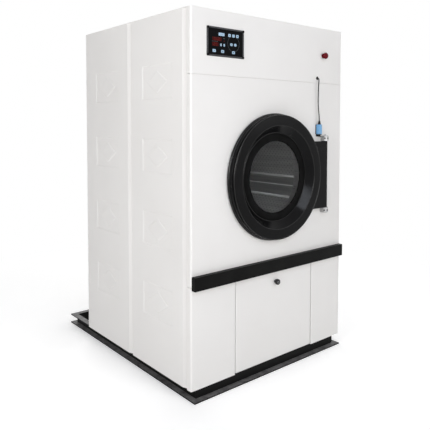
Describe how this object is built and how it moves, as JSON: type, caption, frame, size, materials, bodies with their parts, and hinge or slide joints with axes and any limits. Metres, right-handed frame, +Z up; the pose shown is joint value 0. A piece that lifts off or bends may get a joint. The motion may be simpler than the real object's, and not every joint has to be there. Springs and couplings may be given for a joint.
{
  "type": "industrial tumble dryer",
  "caption": "Floor-standing industrial tumble dryer: white sheet cabinet on a channel base, round black glazed door, lint door, belt-driven drum and exhaust fan.",
  "frame": {"origin": "on the floor, under the middle of the overall bounding box", "axes": "+Z up, -Y out of the front where the door is, +X to the machine's right seen from the front"},
  "size_m": [1.25, 1.545, 2.08],
  "materials": {
    "white_paint": "satin powder coat",
    "black_paint": "satin powder coat",
    "frame_paint": "primer",
    "drum_steel": "brushed stainless",
    "sheet_steel": "galvanised sheet",
    "hinge_steel": "satin stainless",
    "machined_steel": "turned",
    "cast_grey": "painted casting",
    "motor_grey": "painted casting",
    "clear_glass": "tempered",
    "black_rubber": "matte",
    "felt": "felt",
    "dark_plastic": "fine texture",
    "overlay_black": "smooth film",
    "key_blue": "printed film",
    "stop_red": "smooth",
    "switch_blue": "painted die casting",
    "copper_tube": "bare tube"
  },
  "bodies": {
    "cabinet": {"base_frame": "black_paint", "base_cross_members": "black_paint", "frame_posts": "frame_paint", "frame_rails": "frame_paint", "left_front_side_panel": "white_paint", "left_rear_side_panel": "white_paint", "right_front_side_panel": "white_paint", "right_rear_side_panel": "white_paint", "upper_front_panel": "white_paint", "door_panel": "white_paint", "lower_front_panels": "white_paint", "bumper_bar": "black_paint", "top_panel": "white_paint", "inlet_grille": "sheet_steel", "rear_panel": "white_paint", "throat_ring": "drum_steel", "drum_seal": "felt", "drum_shroud": "sheet_steel", "heater_box": "sheet_steel", "heater_tubes": "copper_tube", "lint_duct": "sheet_steel", "lint_screen": "drum_steel", "bearing_housing": "cast_grey", "shaft_bearings": "machined_steel", "drive_belts": "black_rubber", "gear_motor": "motor_grey", "fan_scroll": "sheet_steel", "fan_motor": "motor_grey", "exhaust_spigot": "sheet_steel", "control_bezel": "dark_plastic", "control_overlay": "overlay_black", "control_keys": "key_blue", "control_box": "dark_plastic", "stop_collar": "dark_plastic", "switch_base": "dark_plastic", "switch_cover": "switch_blue", "cable_gland": "dark_plastic", "cable_grommet": "black_rubber", "switch_cable": "black_rubber", "hinge_brackets": "hinge_steel", "hinge_pins": "machined_steel", "hinge_screws": "machined_steel"},
    "door": {"door_ring": "black_paint", "door_glass": "clear_glass", "glass_seal": "black_rubber", "door_seal": "black_rubber", "hinge_plate": "black_paint", "door_magnets": "machined_steel"},
    "drum": {"drum_shell": "drum_steel", "drum_lifters": "drum_steel", "drum_spider": "cast_grey", "drum_shaft": "machined_steel", "drum_pulley": "cast_grey"},
    "drive_pulley": {"motor_pulley": "cast_grey"},
    "fan": {"fan_impeller": "sheet_steel"},
    "lint_flap": {"lint_door": "white_paint", "lint_door_liner": "sheet_steel"},
    "lock": {"lint_lock": "dark_plastic"},
    "stop": {"stop_button": "stop_red"},
    "lever": {"switch_lever": "dark_plastic"}
  },
  "joints": [
    {"name": "door_swing", "type": "hinge", "parent": "cabinet", "child": "door", "pos_m": [0.437, -0.7415, 1.155], "axis": [0, 0, 1], "range_deg": [0, 155]},
    {"name": "drum_spin", "type": "hinge", "parent": "cabinet", "child": "drum", "pos_m": [-0.008, 0.4075, 1.164], "axis": [0, 1, 0], "continuous": true},
    {"name": "drive_pulley_spin", "type": "hinge", "parent": "cabinet", "child": "drive_pulley", "pos_m": [0.2, 0.6135, 0.183], "axis": [0, 1, 0], "continuous": true},
    {"name": "fan_spin", "type": "hinge", "parent": "cabinet", "child": "fan", "pos_m": [-0.305, 0.2375, 0.305], "axis": [1, 0, 0], "continuous": true},
    {"name": "lint_door_tilt", "type": "hinge", "parent": "cabinet", "child": "lint_flap", "pos_m": [0.012, -0.7115, 0.076], "axis": [1, 0, 0], "range_deg": [0, 90]},
    {"name": "lint_lock_turn", "type": "hinge", "parent": "lint_flap", "child": "lock", "pos_m": [0.008, -0.7175, 0.537], "axis": [0, -1, 0], "range_deg": [0, 90]},
    {"name": "stop_press", "type": "slide", "parent": "cabinet", "child": "stop", "axis": [0, 1, 0], "range_m": [0, 0.006], "stiffness_N_per_m": 900},
    {"name": "switch_lever_turn", "type": "hinge", "parent": "cabinet", "child": "lever", "pos_m": [0.382, -0.7475, 1.4035], "axis": [0, -1, 0], "range_deg": [0, 20], "stiffness_Nm_per_rad": 0.05}
  ],
  "couplings": [
    {"joint": "drive_pulley_spin", "follows": "drum_spin", "ratio": 4.2558}
  ]
}
